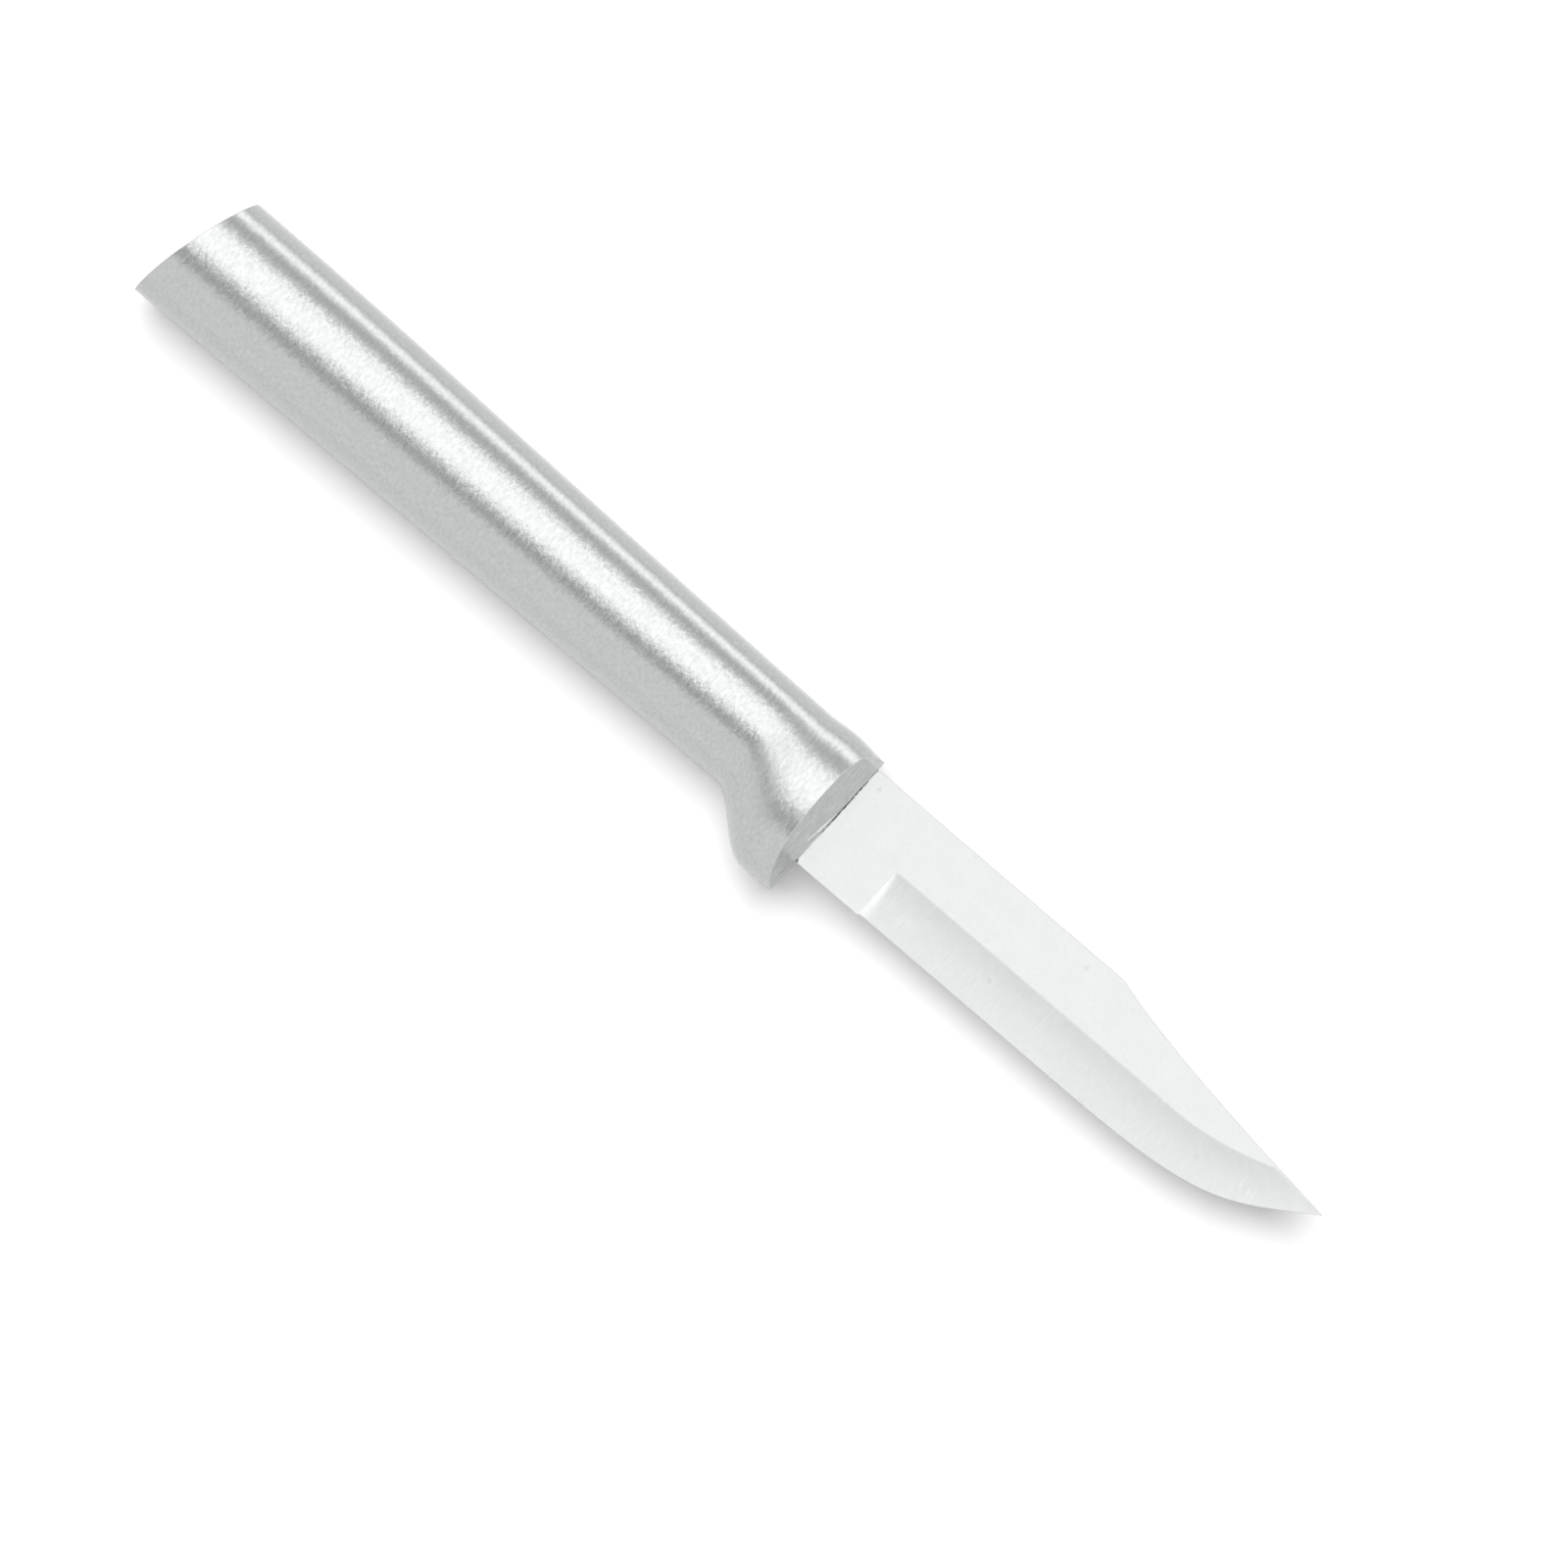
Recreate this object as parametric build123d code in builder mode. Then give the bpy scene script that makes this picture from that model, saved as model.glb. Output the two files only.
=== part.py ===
from build123d import *
import os
from math import asin, atan, atan2, cos, degrees, hypot, pi, radians, sin, sqrt, tan

# A paring knife lying on its side: a ground steel blade whose tang is locked in a cast handle.
# +X runs from the butt to the point, +Y towards the spine, +Z up, all in millimetres.
# The origin lies under the middle of the knife, on the surface that the handle rests on.
# Outlines are drawn from the top corner of the blade where it leaves the handle.

# Blade: a straight spine clipped down to the point, and a straight edge that curves up to it
blade_length = 71.5
blade_width = 14.1
blade_thickness = 1.4
spine_straight = 37.0
point_drop = 5.7
clip_pull_shares = (0.20, 0.43)
edge_straight = 40.3
belly_pull_shares = ((0.675, 0.0), (0.71, 0.315))

# Hollow grind, the same on both sides, left by a wheel with a rounded corner
# The wheel turns up the belly and bites deeper as it goes, so that the point is ground thin too
ricasso_length = 9.7
ricasso_step = 0.18
grind_width = 6.5
wheel_radius = 60.0
wheel_corner = 0.8
edge_thickness = 0.16
grind_lag = 12.0
point_grind_width = 2.83
point_thickness = 0.31

# Tang, hidden in the handle, with two holes that the cast metal fills
shoulder_depth = 3.0
tang_length = 62.0
tang_drop = 2.6
tang_height = 7.8
tail_height = 6.2
tail_corner = 2.2
shoulder_corner = 0.8
lock_hole_radius = 2.1
lock_hole_shares = (0.34, 0.72)

# Handle: an egg-shaped section, widest near the spine, with a finger guard at the front
handle_length = 99.95
handle_thickness = 13.0
spine_step = 1.05
spine_rise = 1.9
spine_rise_shares = ((0.14, 0.13), (0.31, 0.31), (0.51, 0.57), (0.74, 0.88), (0.95, 1.0))
waist_height = 13.9
belly_fall = 0.75
guard_start = 13.5
guard_end = 4.8
guard_drop = 5.6
guard_stations = 12
knuckle_rise = 0.3
knuckle_back = 4.2
knuckle_reach = 4.0
widest_share = 0.39
top_power = 3.2
belly_power = 2.2
belly_draw = 2.0
section_steps = 12

# Ends of the handle: a nose ground back on both sides, and a slanted, slightly bowed butt
nose_width = 1.9
nose_angle = 27.0
nose_slant = 1.4
butt_slant = 15.6
butt_bow = 0.5
butt_spare = 6.0

# Fits and overruns
cast_gap = 0.02
overrun = 2.0

# Places that follow from the sizes
front_x = (handle_length - blade_length) / 2
guard_depth = waist_height - spine_step + guard_drop
spine_y = (guard_depth - spine_step - spine_rise) / 2
mid_z = handle_thickness / 2
half_blade = blade_thickness / 2
ground_edge = ricasso_step - blade_width
grind_line = ground_edge + grind_width
knife_plane = Plane(origin=(front_x, spine_y, mid_z))
quarter_turn = 90

# The wheel's slope where it enters the flat, in radians, and its centre below and above the grind line
hollow_drop = half_blade - edge_thickness / 2
hollow_half_turn = asin(hypot(grind_width, hollow_drop) / 2 / wheel_radius)
hollow_slope = atan(hollow_drop / grind_width) + hollow_half_turn
wheel_back = wheel_radius * sin(hollow_slope)
wheel_up = half_blade + wheel_radius * cos(hollow_slope)

os.makedirs("parts", exist_ok=True)


def across(x):
    """Plane square to the knife at x: its first axis is the knife's y, its second points up."""
    return Plane(origin=(front_x + x, spine_y, mid_z), x_dir=(0, 1, 0), z_dir=(1, 0, 0))


def tang_outline(front, grow):
    """The tang's outline back from a front line, grown all round for the cavity that holds it."""
    tail_drop = tang_drop + (tang_height - tail_height) / 2
    with BuildSketch() as tang:
        with BuildLine():
            Polyline(
                (front, grow),
                (-shoulder_depth - grow, grow),
                (-shoulder_depth - grow, grow - tang_drop),
                (-tang_length - grow, grow - tail_drop),
                (-tang_length - grow, -tail_drop - tail_height - grow),
                (-shoulder_depth - grow, -tang_drop - tang_height - grow),
                (-shoulder_depth - grow, -blade_width - grow),
                (front, -blade_width - grow),
                close=True,
            )
        make_face()
        shoulders = tang.vertices().sort_by(Axis.X)[2:6]
        fillet(shoulders, shoulder_corner)
        tail = tang.vertices().group_by(Axis.X)[0]
        fillet(tail, tail_corner)
    return tang.sketch_local


def lock_holes(shrink):
    """The tang's two holes, or the cast keys in them, as circles on the tang's centre line."""
    centre = -tang_drop - tang_height / 2
    with BuildSketch() as holes:
        with Locations(*[(-share * tang_length, centre) for share in lock_hole_shares]):
            Circle(lock_hole_radius - shrink)
    return holes.sketch_local


def hollow_height(down):
    """Height of the ground hollow over the blade's middle, at a distance below the grind line."""
    return wheel_up - sqrt(wheel_radius**2 - (wheel_back - down) ** 2)


def grind_profile(x):
    """Space that the wheel takes from the upper side: a shallow arc from the grind line past the edge."""
    centre = (grind_line - wheel_back, wheel_up)
    start = degrees(hollow_slope) - quarter_turn
    sweep = degrees(2 * hollow_half_turn + overrun / wheel_radius)
    clear_z = half_blade + wheel_corner
    with BuildSketch(across(x)) as profile:
        with BuildLine():
            hollow = CenterArc(centre, wheel_radius, start, -sweep)
            Polyline(hollow @ 0, (grind_line, clear_z), ((hollow @ 1).X, clear_z), hollow @ 1)
        make_face()
    return profile.sketch


def handle_top(back):
    """Height of the handle's spine line and the low knuckle on it, by the distance from the front."""
    from_knuckle = min(abs(back - knuckle_back) / knuckle_reach, 1)
    knuckle = knuckle_rise * (1 - from_knuckle * from_knuckle) ** 2
    back_share = back / handle_length
    low_share, low_rise = 0, 0
    for share, rise in spine_rise_shares:
        if back_share < share:
            rise = low_rise + (rise - low_rise) * (back_share - low_share) / (share - low_share)
            break
        low_share, low_rise = share, rise
    return spine_step + spine_rise * rise + knuckle


def handle_bottom(back):
    """Height of the belly line, with the guard's smooth drop, by the distance from the front."""
    into = (guard_start - back) / (guard_start - guard_end)
    into = min(max(into, 0), 1)
    drop_share = into * into * (3 - 2 * into)
    return spine_step - waist_height - belly_fall * back / handle_length - guard_drop * drop_share


def handle_section(back):
    """Egg-shaped section: a rounded spine side and a belly side that draws in to a narrow edge."""
    top = handle_top(back)
    bottom = handle_bottom(back)
    widest = top - widest_share * (top - bottom)
    side = []
    for step in range(section_steps + 1):
        turn = pi * step / section_steps
        if cos(turn) > 0:
            y = widest + (top - widest) * cos(turn) ** (2 / top_power)
            z = mid_z * sin(turn) ** (2 / top_power)
        else:
            y = widest - (widest - bottom) * (-cos(turn)) ** (2 / belly_power)
            z = mid_z * sin(turn) ** (2 / belly_draw)
        side.append((y, z))
    other_side = [(y, -z) for y, z in side]
    with BuildSketch(across(-back)) as section:
        with BuildLine():
            Spline(*side, tangents=((0, 1), (0, -1)))
            Spline(*other_side, tangents=((0, -1), (0, 1)))
        make_face()
    return section.sketch


# Space that the grinding wheel takes from the upper side
# It turns about an axis that leans, so it reaches the point at the width and thickness given there
turn_x = edge_straight + grind_lag
turn_length = blade_length - turn_x
turn_rise = -point_drop - grind_line
turn_square = turn_length**2 + turn_rise**2 - point_grind_width**2
turn_radius = turn_square / (2 * (point_grind_width + turn_rise))
turn_angle = atan2(turn_length, turn_radius - turn_rise) + overrun / turn_radius
turn_lean = atan((hollow_height(point_grind_width) - point_thickness / 2) / turn_length)
clear_height = mid_z + half_blade + wheel_corner
with BuildPart() as wheel_cut:
    extrude(grind_profile(ricasso_length), amount=turn_x - ricasso_length)
    plunge_axis = Axis((front_x + ricasso_length, 0, clear_height), (0, 1, 0))
    revolve(grind_profile(ricasso_length), axis=plunge_axis, revolution_arc=quarter_turn)
    turn_centre = (front_x + turn_x, spine_y + grind_line + turn_radius, mid_z)
    turn_axis = Axis(turn_centre, (sin(turn_lean), 0, cos(turn_lean)))
    revolve(grind_profile(turn_x), axis=turn_axis, revolution_arc=degrees(turn_angle))

# Blade
clip_length = blade_length - spine_straight
belly_length = blade_length - edge_straight
point_rise = -point_drop - ground_edge
point = (blade_length, -point_drop)
clip_pull = (spine_straight + clip_pull_shares[0] * clip_length, -clip_pull_shares[1] * point_drop)
belly_pulls = [
    (edge_straight + along * belly_length, ground_edge + up * point_rise)
    for along, up in belly_pull_shares
]
with BuildPart() as blade:
    with BuildSketch(knife_plane):
        with BuildLine():
            Line((0, 0), (spine_straight, 0))
            Bezier((spine_straight, 0), clip_pull, point)
            Bezier(point, belly_pulls[1], belly_pulls[0], (edge_straight, ground_edge))
            Polyline(
                (edge_straight, ground_edge),
                (ricasso_length, ground_edge),
                (ricasso_length - ricasso_step, -blade_width),
                (0, -blade_width),
                (0, 0),
            )
        make_face()
        add(tang_outline(0, 0))
        add(lock_holes(0), mode=Mode.SUBTRACT)
    extrude(amount=half_blade, both=True)
    add(wheel_cut.part, mode=Mode.SUBTRACT)
    mirror(wheel_cut.part, about=Plane.XY.offset(mid_z), mode=Mode.SUBTRACT)
blade.part.label = "blade"
export_step(blade.part, "parts/blade.step")

# Handle: the casting, the nose ground back on both sides, the bowed butt, and the tang's seat
loft_start = -overrun / 2
guard_step = (guard_start - loft_start) / guard_stations
guard_backs = [loft_start + guard_step * station for station in range(guard_stations + 1)]
grip_backs = [guard_start] + [share * handle_length for share, rise in spine_rise_shares[1:]]
grip_backs.append(handle_length + butt_spare)
nose_plane = Plane(
    origin=(front_x, spine_y, mid_z),
    x_dir=(cos(radians(nose_slant)), -sin(radians(nose_slant)), 0),
    z_dir=(-sin(radians(nose_slant)), -cos(radians(nose_slant)), 0),
)
clear_z = mid_z + overrun
nose_setback = (clear_z - nose_width / 2) * tan(radians(nose_angle))
butt_top = handle_top(handle_length)
butt_bottom = handle_bottom(handle_length)
butt_lead = tan(radians(butt_slant)) * (butt_top - butt_bottom)
butt_plane = Plane(
    origin=(front_x - handle_length + butt_lead / 2, spine_y + (butt_top + butt_bottom) / 2, mid_z),
    x_dir=(cos(radians(butt_slant)), -sin(radians(butt_slant)), 0),
)
half_butt = (butt_top - butt_bottom) / cos(radians(butt_slant)) / 2
butt_reach = half_butt + butt_spare
bow_lead = butt_bow * (butt_reach / half_butt) ** 2 - butt_bow
with BuildPart() as handle:
    loft([handle_section(back) for back in guard_backs])
    loft([handle_section(back) for back in grip_backs])
    with BuildSketch(nose_plane):
        with BuildLine():
            Polyline(
                (overrun, clear_z),
                (-nose_setback, clear_z),
                (0, nose_width / 2),
                (0, -nose_width / 2),
                (-nose_setback, -clear_z),
                (overrun, -clear_z),
                close=True,
            )
        make_face()
    extrude(amount=guard_depth + overrun, both=True, mode=Mode.SUBTRACT)
    with BuildSketch(butt_plane):
        with BuildLine():
            bow = ThreePointArc((bow_lead, -butt_reach), (-butt_bow, 0), (bow_lead, butt_reach))
            Polyline(bow @ 1, (-handle_length, butt_reach), (-handle_length, -butt_reach), bow @ 0)
        make_face()
    extrude(amount=clear_z, both=True, mode=Mode.SUBTRACT)
    with BuildSketch(knife_plane):
        add(tang_outline(overrun, cast_gap))
        add(lock_holes(cast_gap), mode=Mode.SUBTRACT)
    extrude(amount=half_blade + cast_gap, both=True, mode=Mode.SUBTRACT)
handle.part.label = "handle"
export_step(handle.part, "parts/handle.step")
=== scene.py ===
"""A paring knife lying on its side on a pale floor, seen from straight above, in soft studio light."""

from math import asin, atan, atan2, cos, hypot, pi, radians, sin, sqrt, tan

import bmesh
import bpy
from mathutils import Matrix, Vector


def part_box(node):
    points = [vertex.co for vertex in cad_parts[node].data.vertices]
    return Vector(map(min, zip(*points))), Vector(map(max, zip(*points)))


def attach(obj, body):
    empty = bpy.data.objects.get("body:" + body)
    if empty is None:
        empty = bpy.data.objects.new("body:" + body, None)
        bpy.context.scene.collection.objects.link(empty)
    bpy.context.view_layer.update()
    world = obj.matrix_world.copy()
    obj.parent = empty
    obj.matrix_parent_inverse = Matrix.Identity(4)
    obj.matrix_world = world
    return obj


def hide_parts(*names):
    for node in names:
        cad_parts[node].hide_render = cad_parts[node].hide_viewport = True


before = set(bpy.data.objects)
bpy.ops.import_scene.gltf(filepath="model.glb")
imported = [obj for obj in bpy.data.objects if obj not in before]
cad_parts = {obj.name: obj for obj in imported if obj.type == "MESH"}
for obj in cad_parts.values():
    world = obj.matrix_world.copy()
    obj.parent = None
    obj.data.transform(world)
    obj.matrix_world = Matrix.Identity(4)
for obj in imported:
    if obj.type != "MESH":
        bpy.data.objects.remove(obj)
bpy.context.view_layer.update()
MM = 0.001
X_AXIS, Z_AXIS = 0, 2

# Where the construction puts the knife: +X from butt to point, +Y towards the spine, +Z up
blade_low, blade_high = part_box("blade")
mid_z = (blade_low.z + blade_high.z) / 2
half_blade = (blade_high.z - blade_low.z) / 2
blade_width = blade_high.y - blade_low.y
spine_y = blade_high.y
half_handle = mid_z

# Blade outline, from the top corner of the blade where it leaves the handle
BLADE_LENGTH = 71.5 * MM
SPINE_STRAIGHT = 37.0 * MM
POINT_DROP = 5.7 * MM
CLIP_PULL_SHARES = (0.20, 0.43)
EDGE_STRAIGHT = 40.3 * MM
BELLY_PULL_SHARES = ((0.675, 0.0), (0.71, 0.315))
front_x = blade_high.x - BLADE_LENGTH

# Hollow grind, its plunge beside the ricasso, the honed edge, the rounded spine and the end in the handle
RICASSO_STEP = 0.18 * MM
GRIND_WIDTH = 6.5 * MM
WHEEL_RADIUS = 60.0 * MM
EDGE_THICKNESS = 0.16 * MM
GRIND_LAG = 12.0 * MM
POINT_GRIND_WIDTH = 2.83 * MM
POINT_THICKNESS = 0.31 * MM
PLUNGE_START = 9.13 * MM
PLUNGE_LEAN = -0.26 * MM
PLUNGE_CORNER_BACK = 0.45 * MM
PLUNGE_CORNER_DROP = 0.42 * MM
PLUNGE_WIDTHS = (0.6 * MM, 1.9 * MM)
PLUNGE_POWER = 2.5
EDGE_STEP_WIDTH = 0.2 * MM
HONED_WIDTH = 0.05 * MM
HONED_HALF = 0.02 * MM
SPINE_ROUND = 0.08 * MM
BLADE_IN_HANDLE = 2.0 * MM

# Handle: an egg-shaped section, widest near the spine, with a finger guard at the front
HANDLE_LENGTH = 99.95 * MM
SPINE_STEP = 1.05 * MM
SPINE_RISE = 1.9 * MM
SPINE_RISE_SHARES = ((0, 0), (0.14, 0.13), (0.31, 0.31), (0.51, 0.57), (0.74, 0.88), (0.95, 1.0), (1.1, 1.0))
WAIST_HEIGHT = 13.9 * MM
BELLY_FALL = 0.75 * MM
GUARD_START = 13.5 * MM
GUARD_END = 4.8 * MM
GUARD_DROP = 5.6 * MM
KNUCKLE_RISE = 0.3 * MM
KNUCKLE_BACK = 4.2 * MM
KNUCKLE_REACH = 4.0 * MM
WIDEST_SHARE = 0.39
TOP_POWER = 3.2
BELLY_POWER = 2.2
BELLY_DRAW = 2.0

# Ends of the handle: a nose ground back on both sides, and a slanted, slightly bowed butt
NOSE_HALF = 0.95 * MM
NOSE_ANGLE = radians(27.0)
NOSE_SLANT = radians(1.4)
BUTT_SLANT = radians(15.6)
BUTT_BOW = 0.5 * MM
SLOT_GAP = 0.04 * MM
SLOT_DEPTH = 2.4 * MM
CORNER_ROUND = 0.07 * MM
RIDGE_ROUND_SHARE = 0.5

# Painted shade in the gap where the blade leaves the casting, drawn as a dark line: its strength by its place
# from the blade's edge (0) to its spine (1)
JUNCTION_STRENGTHS = (
    (0.28, 0.0), (0.33, 0.45), (0.43, 0.5), (0.47, 1.0), (0.76, 1.0), (0.83, 0.7), (0.98, 0.6),
)

# Marks on the nose, from the blade's top corner: burrs beside the blade, painted lighter as a highlight, and
# a pit at its lower corner, painted dark as shade
NOSE_BURRS = (
    ((-0.32 * MM, -7.0 * MM), (-0.62 * MM, -9.9 * MM)),
    ((-0.52 * MM, -8.4 * MM), (-0.88 * MM, -11.4 * MM)),
)
NOSE_PIT_SHADE = ((-0.25 * MM, -14.05 * MM), (-0.31 * MM, -13.8 * MM))

# How finely the meshes are drawn
HANDLE_STATIONS = 240
FRONT_CROWD_SHARE = 0.35
CAP_STEPS = 4
SIDE_STEPS = 110
CORNER_SEGMENTS = 3
SPINE_ROWS = 6
FLAT_ROWS = 8
HOLLOW_ROWS = 26
HONED_ROWS = 3
RICASSO_COLUMNS = 12
PLUNGE_COLUMNS = 24
GRIND_COLUMNS = 90
FAN_COLUMNS = 90
SUPPORT = 0.18 * MM
SPINE_SUPPORT = 1.3 * SPINE_ROUND
SLIVER = 0.01 * MM
WELD = 0.002 * MM

# How many steps the searches for places take
HALVINGS = 40
FINE_STEPS = 20
END_PASSES = 12
CREASE_PASSES = 8

# Places that follow from the sizes, still from the blade's top corner
ground_edge = RICASSO_STEP - blade_width
grind_line = ground_edge + GRIND_WIDTH
hollow_drop = half_blade - EDGE_THICKNESS / 2
hollow_half_turn = asin(hypot(GRIND_WIDTH, hollow_drop) / 2 / WHEEL_RADIUS)
hollow_slope = atan(hollow_drop / GRIND_WIDTH) + hollow_half_turn
wheel_back = WHEEL_RADIUS * sin(hollow_slope)
wheel_up = half_blade + WHEEL_RADIUS * cos(hollow_slope)
turn_x = EDGE_STRAIGHT + GRIND_LAG


def hollow_height(down):
    """Height of the ground hollow over the blade's middle, at a distance below the grind line."""
    return wheel_up - sqrt(WHEEL_RADIUS**2 - (wheel_back - down) ** 2)


turn_length = BLADE_LENGTH - turn_x
turn_rise = -POINT_DROP - grind_line
turn_square = turn_length**2 + turn_rise**2 - POINT_GRIND_WIDTH**2
turn_radius = turn_square / (2 * (POINT_GRIND_WIDTH + turn_rise))
turn_lean = atan((hollow_height(POINT_GRIND_WIDTH) - POINT_THICKNESS / 2) / turn_length)
turn_y = grind_line + turn_radius
clip_length = BLADE_LENGTH - SPINE_STRAIGHT
belly_length = BLADE_LENGTH - EDGE_STRAIGHT
point_rise = -POINT_DROP - ground_edge
point = (BLADE_LENGTH, -POINT_DROP)
clip_pull = (SPINE_STRAIGHT + CLIP_PULL_SHARES[0] * clip_length, -CLIP_PULL_SHARES[1] * POINT_DROP)
clip_points = ((SPINE_STRAIGHT, 0), clip_pull, point)
belly_pulls = [
    (EDGE_STRAIGHT + along * belly_length, ground_edge + up * point_rise)
    for along, up in BELLY_PULL_SHARES
]
belly_points = ((EDGE_STRAIGHT, ground_edge), *belly_pulls, point)


def bezier(points, share):
    """Point of a Bezier curve, by repeated division between its points."""
    while len(points) > 1:
        points = [
            tuple(a + (b - a) * share for a, b in zip(first, second))
            for first, second in zip(points, points[1:])
        ]
    return points[0]


def curve_meets(points, measure, value):
    """Point of a Bezier curve where a measure that grows along it reaches a value."""
    low, high = 0.0, 1.0
    for _ in range(HALVINGS):
        middle = (low + high) / 2
        if measure(bezier(points, middle)) < value:
            low = middle
        else:
            high = middle
    return bezier(points, low)


def ease(share):
    """Smooth step from 0 to 1."""
    share = min(max(share, 0), 1)
    return share * share * (3 - 2 * share)


def make_object(name, bm):
    """Object from a bmesh, smooth but for the edges that are marked sharp."""
    bmesh.ops.recalc_face_normals(bm, faces=bm.faces)
    mesh = bpy.data.meshes.new(name)
    for face in bm.faces:
        face.smooth = True
    bm.to_mesh(mesh)
    bm.free()
    made = bpy.data.objects.new(name, mesh)
    bpy.context.scene.collection.objects.link(made)
    return made


# Handle
def rise_share(back_share):
    """Smooth curve through the spine's rise shares, each stretch eased by its neighbours' slopes."""
    shares = SPINE_RISE_SHARES
    slopes = [
        (b[1] - a[1]) / (b[0] - a[0])
        for a, b in zip(shares, shares[1:])
    ]
    slopes = [slopes[0]] + [(a + b) / 2 for a, b in zip(slopes, slopes[1:])] + [slopes[-1]]
    for i in range(len(shares) - 1):
        (start, low), (end, high) = shares[i], shares[i + 1]
        if back_share <= end:
            break
    step = end - start
    t = (back_share - start) / step
    rise = low + (high - low) * t * t * (3 - 2 * t)
    return rise + step * t * (1 - t) * (slopes[i] * (1 - t) - slopes[i + 1] * t)


def handle_top(back):
    """Height of the handle's spine line and the low knuckle on it, by the distance from the front."""
    from_knuckle = min(abs(back - KNUCKLE_BACK) / KNUCKLE_REACH, 1)
    knuckle = KNUCKLE_RISE * (1 - from_knuckle * from_knuckle) ** 2
    return SPINE_STEP + SPINE_RISE * rise_share(max(back, 0) / HANDLE_LENGTH) + knuckle


def handle_bottom(back):
    """Height of the belly line, with the guard's smooth drop, by the distance from the front."""
    drop = GUARD_DROP * ease((GUARD_START - back) / (GUARD_START - GUARD_END))
    return SPINE_STEP - WAIST_HEIGHT - BELLY_FALL * back / HANDLE_LENGTH - drop


def section_point(back, turn):
    """Point of the egg-shaped section, by its turn from the spine (0) round to the belly (pi)."""
    top = handle_top(back)
    bottom = handle_bottom(back)
    widest = top - WIDEST_SHARE * (top - bottom)
    if cos(turn) > 0:
        y = widest + (top - widest) * cos(turn) ** (2 / TOP_POWER)
        z = half_handle * abs(sin(turn)) ** (2 / TOP_POWER)
    else:
        y = widest - (widest - bottom) * (-cos(turn)) ** (2 / BELLY_POWER)
        z = half_handle * abs(sin(turn)) ** (2 / BELLY_DRAW)
    return y, z


def even_turns(start, end, steps):
    """Turns from start to end that divide the section's outline into even lengths, halfway along."""
    count = steps * FINE_STEPS
    fine = [start + (end - start) * i / count for i in range(count + 1)]
    points = [section_point(HANDLE_LENGTH / 2, turn) for turn in fine]
    lengths = [0.0]
    for a, b in zip(points, points[1:]):
        lengths.append(lengths[-1] + hypot(b[0] - a[0], b[1] - a[1]))
    turns, i = [start], 0
    for step in range(1, steps):
        while lengths[i] < lengths[-1] * step / steps:
            i += 1
        turns.append(fine[i])
    return turns + [end]


def nose_back(y, z):
    """How far back the nose lies: a narrow flat, and the faces ground back from it on both sides."""
    return -y * tan(NOSE_SLANT) + max(abs(z) - NOSE_HALF, 0) * tan(NOSE_ANGLE) / cos(NOSE_SLANT)


def butt_back(y):
    """How far back the slanted, bowed butt lies."""
    top = handle_top(HANDLE_LENGTH)
    bottom = handle_bottom(HANDLE_LENGTH)
    along = 2 * (y - bottom) / (top - bottom) - 1
    lead = tan(BUTT_SLANT) * (y - bottom)
    return HANDLE_LENGTH - lead + BUTT_BOW * (1 - along * along)


def handle_point(back, y, z):
    """Point in the frame, from a distance behind the front and a height and width there."""
    return front_x - back, spine_y + y, mid_z + z


def end_back(turn, where):
    """Distance from the front at which the section's point at a turn meets an end of the handle."""
    back = where(*section_point(0, turn))
    for _ in range(END_PASSES):
        back = where(*section_point(back, turn))
    return back


def build_handle():
    """Closed handle: the brushed body, the ground nose with the blade's slot in it, and the butt."""
    top_turn = asin((NOSE_HALF / half_handle) ** (TOP_POWER / 2))
    low_turn = pi - asin((NOSE_HALF / half_handle) ** (BELLY_DRAW / 2))
    turns = even_turns(0, top_turn, CAP_STEPS)
    turns += even_turns(top_turn, low_turn, SIDE_STEPS)[1:]
    turns += even_turns(low_turn, pi, CAP_STEPS)[1:]
    half = len(turns) - 1
    ring = [(turn, 1) for turn in turns] + [(turn, -1) for turn in turns[-2:0:-1]]
    starts = [end_back(turn, nose_back) for turn, _ in ring]
    ends = [end_back(turn, lambda y, z: butt_back(y)) for turn, _ in ring]

    bm = bmesh.new()
    brush = bm.loops.layers.uv.new("brush")
    weight = bm.edges.layers.float.new("bevel_weight_edge")
    bm.faces.layers.float.new("cut")

    rows = []
    for station in range(HANDLE_STATIONS + 1):
        t = station / HANDLE_STATIONS
        share = FRONT_CROWD_SHARE * t + (1 - FRONT_CROWD_SHARE) * t * t
        row = []
        for (turn, side), start, end in zip(ring, starts, ends):
            back = start + (end - start) * share
            y, z = section_point(back, turn)
            vertex = bm.verts.new(handle_point(back, y, side * z))
            row.append(vertex)
        rows.append(row)

    around = [0.0]
    middle = rows[HANDLE_STATIONS // 2]
    for a, b in zip(middle, middle[1:] + middle[:1]):
        around.append(around[-1] + (b.co - a.co).length)
    for front, behind in zip(rows, rows[1:]):
        for i in range(len(ring)):
            j = (i + 1) % len(ring)
            face = bm.faces.new((front[i], front[j], behind[j], behind[i]))
            for loop, v in zip(face.loops, (around[i], around[i + 1], around[i + 1], around[i])):
                loop[brush].uv = (loop.vert.co.x, v)

    add_nose(bm, rows[0], half, brush, weight)
    add_butt(bm, rows[-1], half, brush)
    for row in (rows[0], rows[-1]):
        for a, b in zip(row, row[1:] + row[:1]):
            bm.edges.get((a, b))[weight] = 1.0
    return make_object("handle_body", bm)


def flat_face(bm, brush, vertices, across):
    """Flat cut face whose brushing runs along Y; across is the axis that lies across the brushing."""
    face = bm.faces.new(vertices)
    face[bm.faces.layers.float["cut"]] = 1.0
    for loop in face.loops:
        loop[brush].uv = (loop.vert.co[across], loop.vert.co.y)
    return face


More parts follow.
